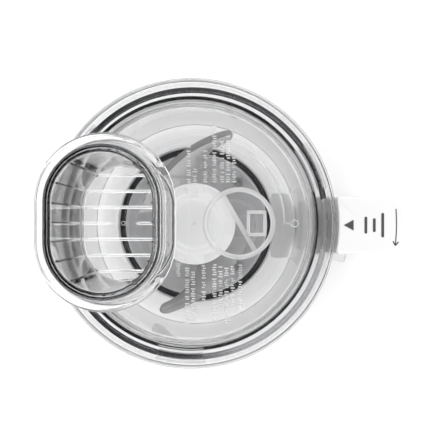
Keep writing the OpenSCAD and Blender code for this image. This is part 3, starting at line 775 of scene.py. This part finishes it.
# %% [markdown]
# The pusher's floor is a separate plate with seven low ribs across it, the middle one broken by the
# gate mark where the plastic was injected. Ribs laid on a plate would show false faces inside the
# clear plastic, so the plate is laid out in rows and each rib falls on rows of its own.

# %% The pusher's floor
base_z, base_t, rib_h = box("pusher_floor")[0][2], 2.0, 1.6
plate_edge = pusher_in - HAIR


def ribbed_plate():
    """Rows along y across the oval. The top rises by the rib's height within half a rib of each
    rib's line, except near the centre of the middle one."""
    reach = plate_edge + straight / 2
    steps = np.array([-1.1, -1.0, -0.9, -0.4, -0.3, 0.3, 0.4, 0.9, 1.0, 1.1])
    rows = np.concatenate([(ribs[:, None] + steps).ravel(), np.linspace(-1, 1, 61) * reach * 0.9995])
    rows = np.unique(np.round(rows[np.abs(rows) < reach], 3))
    over = np.maximum(np.abs(rows) - straight / 2, 0)
    half = np.sqrt(np.maximum(plate_edge ** 2 - over ** 2, 0.01))
    across = np.concatenate([np.linspace(-1, -0.36, 10), np.linspace(-0.33, 0.33, 12),
                             np.linspace(0.36, 1, 10)])
    x = half[:, None] * across
    y = np.repeat(rows[:, None], len(across), 1)
    away = np.abs(y[..., None] - ribs).min(-1)
    rib = np.clip((1.0 - away) / 0.65, 0, 1)
    broken = (np.abs(y) < 5) & (np.abs(x) < 9)
    top = base_z + base_t + rib_h * rib * ~broken
    upper = np.stack([x + tube_x, y, top], -1)
    lower = np.stack([x + tube_x, y, np.full_like(x, base_z)], -1)
    return np.concatenate([upper, lower[:, ::-1]], 1)


gate = slab(disc((tube_x, 0), 1.4, 20), base_z + base_t + HAIR, base_z + base_t + 0.8, 0.3)
several("pusher_floor_plate", [(ribbed_plate(), False), (gate, False)], clear, "pusher",
        ["pusher_floor"])

# %% [markdown]
# The knife. Each blade is a crescent between two arcs, with a round tip and a bevel ground along the
# outer, leading edge. It is laid out along its length, and each station across it is a thin closed
# section: flat below, flat above, then the ground slope down to the edge. Each arc is a centre, a
# radius and two angles, drawn for a blade of one reach and then scaled to the bowl.

# %% The blades
core_r, tip_gap, drawn_reach = 16.5, 3.2, 75
blade_scale = (low_r - wall_t - tip_gap) / drawn_reach
outer_arc = (47.7, -20.8), 94.1, 162.2, 102.2
inner_arc = (41.5, 19.7), 44.8, 186, 106.5


def arc_points(centre, radius, start, end, count):
    """Points on an arc between two angles in degrees."""
    a = np.radians(np.linspace(start, end, count))
    return np.stack([centre[0] + radius * np.cos(a), centre[1] + radius * np.sin(a)], -1)


def blade(node, turn, ground_from, metal):
    """Stations along the crescent from root to tip, each a closed section of seven points. The faces
    that slope down to the edge are the ground ones, and take a finer finish whose darker colour is painted
    shade."""
    low, high = box(node)
    count = 90
    even = np.linspace(0, 1, count)
    s = 1 - (1 - even) ** 1.6
    outer, inner = (np.stack([np.interp(s, even, line[:, k]) for k in (0, 1)], -1)
                    for line in (arc_points(*outer_arc, count), arc_points(*inner_arc, count)))
    middle, half = (outer + inner) / 2, (outer - inner) / 2
    round_from = 0.93
    t = np.clip((s - round_from) / (1 - round_from), 0, 1)
    half *= np.sqrt(np.maximum(1 - t ** 2, 0.0004))[:, None]
    ground = np.clip((s - ground_from) / 0.03, 0, 1)
    width = 2 * np.linalg.norm(half, axis=1)
    ridge = 1 - 2 * np.minimum(5.4 * ground + 0.4, 0.5 * width) / np.maximum(width, 0.1)
    z0, z1 = low[2], high[2]
    edge = z0 + 0.25 + (z1 - z0 - 0.5) * (1 - ground)
    across = [np.full(count, -0.98), ridge, np.full(count, 1.0), np.full(count, 1.0),
              np.full(count, 0.0), np.full(count, -0.98), np.full(count, -1.0)]
    heights = [np.full(count, z1), np.full(count, z1), edge + 0.1, np.full(count, z0) + 0.1,
               np.full(count, z0), np.full(count, z0), np.full(count, (z0 + z1) / 2)]
    grid_points = np.stack([
        np.column_stack([(middle + half * a[:, None]) * blade_scale, h])
        for a, h in zip(across, heights)], 1)
    c, sn = math.cos(turn), math.sin(turn)
    grid_points = grid_points @ np.array([[c, sn, 0], [-sn, c, 0], [0, 0, 1]])
    ring = lathe(rounded([(core_r, z0 + 0.01), (core_r + 5, z0 + 0.01), (core_r + 5, z1 - 0.01),
                          (core_r, z1 - 0.01)], 0.2), 96)
    piece = several(node + "_plate", [(grid_points, False), (ring, True)], metal, "knife",
                    [node])
    # The sloping ground faces take the darker steel, whose darkness is painted shade.
    piece.data.materials.append(ground_steel_painted_dark)
    for face in piece.data.polygons:
        face.material_index = int(0.8 < face.normal.z < 0.99)
    sharp = piece.modifiers.new("edges", "EDGE_SPLIT")
    sharp.split_angle = math.radians(25)


blade("upper_blade", 0, 0.3, blade_steel)
# The lower blade takes the darker steel, which is painted shade for its place under the upper one.
blade("lower_blade", math.pi, 0.6, painted_shade_steel)

# %% [markdown]
# The white hub carries the knife down over the bowl's boss. Its flange has six recesses, made by
# letting the lathe profile dip over six spans of angle. Cutting them out would leave sharp edges,
# and a moulded recess has none.

# %% The hub
hub_low, hub_high = box("blade_hub")
upper_low, upper_high = box("upper_blade")
lower_low, lower_high = box("lower_blade")
flange_r, flange_z, flange_t = hub_high[0], upper_high[2], 4.0
neck_r, core_in = 20.0, boss_r + 1
dog_low, dog_high = box("drive_dog")
neck_top = hub_high[2]
hub_body = rounded([
    (core_in, hub_low[2]), (core_r + 3, hub_low[2]), (core_r + 3, lower_low[2] - 0.01),
    (core_r - HAIR, lower_low[2] - 0.01), (core_r - HAIR, flange_z), (neck_r, flange_z),
    (neck_r - HAIR, neck_top), (0.4, neck_top), (0.4, dog_high[2] + 0.5),
    (dog_high[0] + 0.4, dog_high[2] + 0.5),
    (dog_high[0] + 0.4, dog_low[2] + 1.2), (core_in, dog_low[2] + 1.2)],
    [0.4, 0.6, 0.2, 0, 0, 0, 0.6, 0, 0, 0.3, 0.3, 0.3])
recess_floor = 1.2


def flange(dip):
    """The flange's section. Between two radii its top drops by dip, which makes a recess."""
    top = flange_z + flange_t
    return rounded([
        (neck_r - 2, flange_z), (flange_r, flange_z), (flange_r, top), (28.3, top), (28.25, top - dip),
        (24.25, top - dip), (24.2, top), (neck_r - 2, top)], [0, 0.6, 0.9, 0.2, 0.2, 0.2, 0.2, 0], steps=3)


recesses = [60 * k for k in range(6)]
recess_edges = [c + side * 16 for c in recesses for side in (-1, 1)]
hub_parts = [(lathe(hub_body, 96), True),
             (lathe(flange(0.02), 120, flange(flange_t - recess_floor),
                    lambda a: sum(window(a, c, 32) for c in recesses), recess_edges), True)]
several("knife_hub", hub_parts, white_plastic, "knife", ["blade_hub"])

# %% [markdown]
# A sleeve keeps the two blades apart, and a cap with a low dome gives the fingers something to hold.
# The cap is a lathe profile, and its grip is a ring of small ribs, each a slab of its own.

# %% Sleeve and cap
turned("blade_sleeve_ring", "blade_sleeve", [
    (core_r, lower_high[2]), (core_r + 3, lower_high[2]), (core_r + 3, upper_low[2]),
    (core_r, upper_low[2])], [0.1, 0.5, 0.5, 0.1], white_plastic, "knife")

cap_low, cap_high = box("hub_cap")
cap_r, cap_top = cap_high[0], cap_high[2]
dome_r, dome_h = 17.0, 3.4
a = np.linspace(0.12, math.pi / 2, 9)
dome = [(dome_r * math.sin(t), cap_top - dome_h + dome_h * math.cos(t)) for t in a]
cap_outer = rounded([
    (neck_r, cap_low[2]), (cap_r, cap_low[2]), (cap_r, cap_low[2] + 9), (cap_r - 2.2, cap_low[2] + 11.5),
    (18.6, cap_low[2] + 12), (dome_r + 0.2, cap_top - dome_h - 1)],
    [0.3, 0.6, 1.2, 0.8, 0.8, 0.6], loop=False)
cap_profile = np.vstack([
    cap_outer, dome[::-1], [(0.3, cap_top), (0.3, neck_top + HAIR), (neck_r, neck_top + HAIR)]])
cap_parts = [(lathe(cap_profile, 144), True)]
for k in range(24):
    a = math.radians(15 * k)
    rib = rectangle((cap_r - 0.6, -0.7), (cap_r + 0.0, 0.7), 0.25)
    rib = turn_about(rib, a, (0, 0))
    cap_parts.append((slab(rib, cap_low[2] + 0.6, cap_low[2] + 8.5, 0.2), False))
several("hub_cap_dome", cap_parts, white_plastic, "knife", ["hub_cap"])

# %% [markdown]
# The handle. From above it is a tapered plate with a hollow root that follows the lid and a bulged
# outer end, and from the side it is a C. Cut from blocks, every edge would need a fillet of its own,
# so both come from one surface of stacked outlines. First come the C's inner line and the plan.

# %% The handle's lines
shell_low, shell_high = box("handle_shell")
handle_end, handle_top = shell_high[0], shell_high[2]
handle_w, end_w, bulge = 40.0, 35.0, 7.0
bulge_r = (end_w ** 2 / 4 + bulge ** 2) / (2 * bulge)
root_r = lid_r + 1.6
foot_r = bowl_r + 0.8
ledge_clear = ledge_r + 0.3
lower_foot, upper_foot = foot_z + 12, skirt_z - 12.5
slot_low, slot_top, slot_r = tab_z - 1, rim_z - 6, tab_out + 1.2
side = rounded([
    (foot_r, foot_z), (foot_r, lower_foot), (grip_x, lower_foot), (grip_x, upper_foot),
    (foot_r, upper_foot), (foot_r, ledge_low - 0.3), (ledge_clear, ledge_low - 0.3),
    (ledge_clear, skirt_z - 2.5), (root_r, skirt_z - 2.5), (root_r, slot_low - 0.3), (root_r, slot_low),
    (root_r, slot_top), (root_r, slot_top + 0.3), (root_r, handle_top)],
    [1.2, 1.6, 8, 8, 1.6, 0.5, 0.5, 0.4, 0.8, 0, 0, 0, 0, 1.2], loop=False)
shoulder = handle_end - bulge
slope = (handle_w - end_w) / 2 / (shoulder - foot_r + 8)


def taper(x):
    """Half the handle's width at a distance from the axis."""
    return end_w / 2 + slope * (shoulder - x)


def outer_side():
    """Half of the plan, from the shoulder to the middle of the bulged end, with a soft corner."""
    swing = math.asin(end_w / 2 / bulge_r)
    arc = [(handle_end - bulge_r + bulge_r * math.cos(a), bulge_r * math.sin(a))
           for a in np.linspace(swing * 0.74, 0, 14)]
    start = np.array((shoulder - 4.5, taper(shoulder - 4.5)))
    bend = np.array((shoulder, end_w / 2))
    w = np.linspace(0, 1, 9)[:, None]
    return np.vstack([(1 - w) ** 2 * start + 2 * w * (1 - w) * bend + w * w * arc[0], arc[1:]])


def corner(before, point, after, reach=3.4):
    """Seven points that round a corner of the plan."""
    before, point, after = (np.asarray(p, float) for p in (before, point, after))
    start = point + (before - point) * reach / np.linalg.norm(before - point)
    end = point + (after - point) * reach / np.linalg.norm(after - point)
    w = np.linspace(0, 1, 7)[:, None]
    return (1 - w) ** 2 * start + 2 * w * (1 - w) * point + w * w * end


print("handle from", round(foot_r, 1), "to", round(handle_end, 1), "with", len(side), "levels inside")

# %% [markdown]
# Level by level the outline stays the same except at its inner side, which follows the C's inner line
# in and out. The slot for the lid's tab is a step in that same inner side, on the levels where the tab
# passes. The top and bottom levels step inwards, which rounds the edges.

# %% The handle
def handle_level(reach, z, inset):
    """One closed outline, anticlockwise. The inner side follows a circle of radius reach about the
    axis, or is straight inside the grip, and gives way beside the slot."""
    low_y, high_y = -taper(reach), taper(reach)
    y = np.linspace(low_y, high_y, 61)
    inner = np.full(61, reach) if reach > root_r + 1 else np.sqrt(reach ** 2 - (y + handle_y) ** 2)
    if slot_low <= z <= slot_top:
        in_slot = np.clip((-4.3 - (y + handle_y)) / 0.3 + 0.5, 0, 1)
        inner = inner + (np.sqrt(slot_r ** 2 - (y + handle_y) ** 2) - inner) * in_slot
    far = outer_side()
    x_run = np.linspace(0, 1, 14)[1:-1]
    first, last = (inner[0], low_y), (inner[-1], high_y)
    top_x = inner[-1] + 3.6 + (far[0, 0] - inner[-1] - 3.6) * x_run
    low_x = inner[0] + 3.6 + (far[0, 0] - inner[0] - 3.6) * x_run
    top, low = np.stack([top_x, taper(top_x)], -1), np.stack([low_x, -taper(low_x)], -1)
    outline = np.vstack([
        corner((inner[6], y[6]), first, low[0]), low, far * (1, -1), far[-2::-1], top[::-1],
        corner(top[0], last, (inner[-7], y[-7])), np.stack([inner, y], -1)[-6:5:-1]])
    outline = outline - normals(outline) * inset
    return np.column_stack([outline[:, 0], outline[:, 1] + handle_y, np.full(len(outline), z)])


levels = []
edge = 1.4
t = np.linspace(0, math.pi / 2, 6)
for v in t:
    levels.append(handle_level(foot_r, foot_z + edge * (1 - math.cos(v)), edge * (1 - math.sin(v))))
for x, z in side[1:-1]:
    if foot_z + edge < z < handle_top - edge:
        levels.append(handle_level(x, z, 0))
for v in t[::-1]:
    levels.append(handle_level(root_r, handle_top - edge * (1 - math.cos(v)), edge * (1 - math.sin(v))))
levels.insert(0, handle_level(foot_r, foot_z, edge * 1.2))
levels.append(handle_level(root_r, handle_top, edge * 1.2))
handle = shell("handle_grip", np.array(levels), white_gloss, "bowl", ["handle_shell"],
               loop=False)
split = handle.modifiers.new("edges", "EDGE_SPLIT")
split.split_angle = math.radians(40)

# %% [markdown]
# The cover closes the hollow of the grip on the bowl's side. It is a rounded panel, made flat as a slab
# and then stood on edge.

# %% The handle's cover
cover_low, cover_high = box("handle_cover")
cover = slab(rectangle((cover_low[1], cover_low[2]), (cover_high[1], cover_high[2]), 5.0),
             -0.35, 1.5, 0.35)
cover = np.stack([grip_x + cover[..., 2], cover[..., 0], cover[..., 1]], -1)
shell("handle_cover_panel", cover, white_gloss, "bowl", ["handle_cover"], loop=False)

# %% [markdown]
# The marks on the handle are pad printed: a pointer that meets the lid's mark, three plain dashes
# where a maker would print words, and a thin arrow for the way the lid turns to open.

# %% Marks
marks_low, marks_high = box("handle_marks")
mark_z, mark_top = marks_low[2] - 0.02, marks_high[2] - 0.1
mark_x = lid_r + 4.5
shapes = [np.array([(mark_x, 0), (mark_x + 6.5, -3.5), (mark_x + 6.5, 3.5)]) + (0, handle_y)]
for x, length in ((19, 11), (24.5, 9), (30, 16)):
    middle, reach = np.array((lid_r + x, handle_y)), np.array((0.9, length / 2))
    shapes.append(rectangle(middle - reach, middle + reach, 0.85))
arrow_r, arrow_w = lid_r + 39, 0.35
arrow = strip(arc_points((0, 0), arrow_r, -6, 4, 30), arrow_w, mark_z, mark_top)
tip = arc_points((0, 0), arrow_r, -6.2, -6.2, 1)[0]
for lean in (-36, 34):
    barb = rectangle(tip - (0, 0.4), tip + (3.2, 0.4), 0.35)
    shapes.append(turn_about(barb, math.radians(84 + lean), tip))

prints = [(stack([(o, mark_z), (o, mark_top)]), False) for o in shapes] + [arrow]
several("handle_print", prints, mark_grey, "bowl", ["handle_marks"])

# %% [markdown]
# What is left of the machine parts is small, plain and mostly hidden, so it keeps its exact CAD shape
# and only takes a finish.

# %% Finishes on the CAD parts
for node, material in {
        "collar_screws": screw_steel, "bush": bronze, "shaft_seal": black_rubber,
        "thrust_washer": screw_steel, "spindle": spindle_steel, "retaining_clip": screw_steel,
        "drive_coupling": white_plastic, "drive_dog": white_plastic, "handle_screws": screw_steel,
        "interlock_slider": white_plastic, "interlock_spring": screw_steel}.items():
    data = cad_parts[node].data
    data.materials.clear()
    data.materials.append(material)
    print(node, "takes", material.name)

# %% [markdown]
# The studio. Clear plastic shows what surrounds it, so the light is a plain pale dome. Straight above,
# where the camera stands, the dome is dark, so that flat tops carry no veil of white.

# %% Sky
world = bpy.data.worlds.new("studio")
bpy.context.scene.world = world
g = Graph(world)
overhead = ((g.part("Generated", 2) - 0.93) * 25.0).between(0.0, 1.0)
sky = g.mix(overhead, (1, 1, 1, 1), (0.04, 0.04, 0.042, 1))
g.output(g.node("ShaderNodeBackground", {}, {"Color": sky, "Strength": 1.85}))
print("sky:", world.name)

# %% [markdown]
# Low dark cards stand round the set, as they do when glass is lit, and rounded edges pick them up as
# black lines. One side is paler, and there the lines fade. A card is met only by light that has been
# reflected on its way, so whatever lies straight behind the plastic stays pale from every side.

# %% Cards
card_r, card_h, card_n = 0.56, 0.2, 96
card_material, g = new_material("cards")
toward = g.part("Object", 0) * 0.74 - g.part("Object", 1) * 0.67
opening = ((toward - 0.36) * 7.0).between(0.0, 1.0)
card_colour = g.mix(opening, (0.018, 0.018, 0.02, 1), (0.33, 0.33, 0.34, 1))
dark = principled(g, Base_Color=card_colour, Roughness=0.9, Specular_IOR_Level=0.0)
reflected = g.node("ShaderNodeLightPath", output="Glossy Depth").math("MINIMUM", 1.0)
nothing = g.node("ShaderNodeBsdfTransparent")
g.output(g.node("ShaderNodeMixShader", {}, {0: reflected, 1: nothing, 2: dark}))


def stage_piece(name, points, faces, material):
    """A thing that belongs to the studio and not to the object."""
    mesh = bpy.data.meshes.new(name)
    mesh.from_pydata(points, [], faces)
    mesh.materials.append(material)
    made = bpy.data.objects.new(name, mesh)
    bpy.context.scene.collection.objects.link(made)
    print(name, "has", len(faces), "faces")
    return made


card_foot = np.array(disc((0, 0), card_r, card_n))
card_points = [(x, y, z) for z in (0.0, card_h) for x, y in card_foot.tolist()]
card_faces = [((k + 1) % card_n, k, k + card_n, (k + 1) % card_n + card_n) for k in range(card_n)]
cards = stage_piece("cards", card_points, card_faces, card_material)
cards.visible_camera = False

# %% [markdown]
# A plain pale floor, wide enough that its edge stays out of sight.

# %% Floor
floor_half = 3.0
floor_material, g = new_material("floor")
floor_colour = g.mix(g.noise(0.2), (0.74, 0.74, 0.74, 1), (0.76, 0.76, 0.76, 1))
g.output(principled(g, Base_Color=floor_colour, Roughness=0.9))
floor_corners = [(x * floor_half, y * floor_half, 0) for x, y in ((-1, -1), (1, -1), (1, 1), (-1, 1))]
stage_piece("floor", floor_corners, [(0, 1, 2, 3)], floor_material)

# %% [markdown]
# Two broad soft lamps, high on opposite sides, give the white parts a little shape.

# %% Lamps
def lamp(name, place, width, power):
    """A square area lamp that faces the foot of the object."""
    light = bpy.data.lights.new(name, "AREA")
    light.size, light.energy = width, power
    made = bpy.data.objects.new(name, light)
    made.location = place
    made.rotation_euler = (-Vector(place)).to_track_quat("-Z", "Y").to_euler()
    bpy.context.scene.collection.objects.link(made)
    print(name, "lamp,", power, "W")


lamp("key", (0.5, 0.6, 1.1), 0.9, 1.5)
lamp("fill", (-0.7, -0.4, 1.0), 0.9, 1.5)

# %% [markdown]
# The camera looks straight down from about half a metre above the rim, a little to the handle's side
# of the axis, so that the tall tube leans outwards and its inner wall shows.

# %% Camera
camera_data = bpy.data.cameras.new("camera")
camera_data.lens, camera_data.sensor_width = 60, 36
camera_data.shift_x, camera_data.shift_y = -0.001, 0.018
camera_data.clip_start, camera_data.clip_end = 0.01, 20
camera = bpy.data.objects.new("camera", camera_data)
camera.location = (0.019, -0.003, rim_z * MM + 0.478)
bpy.context.scene.collection.objects.link(camera)
bpy.context.scene.camera = camera
bpy.context.scene.view_settings.view_transform = "Standard"
print("camera at", [round(c, 3) for c in camera.location])
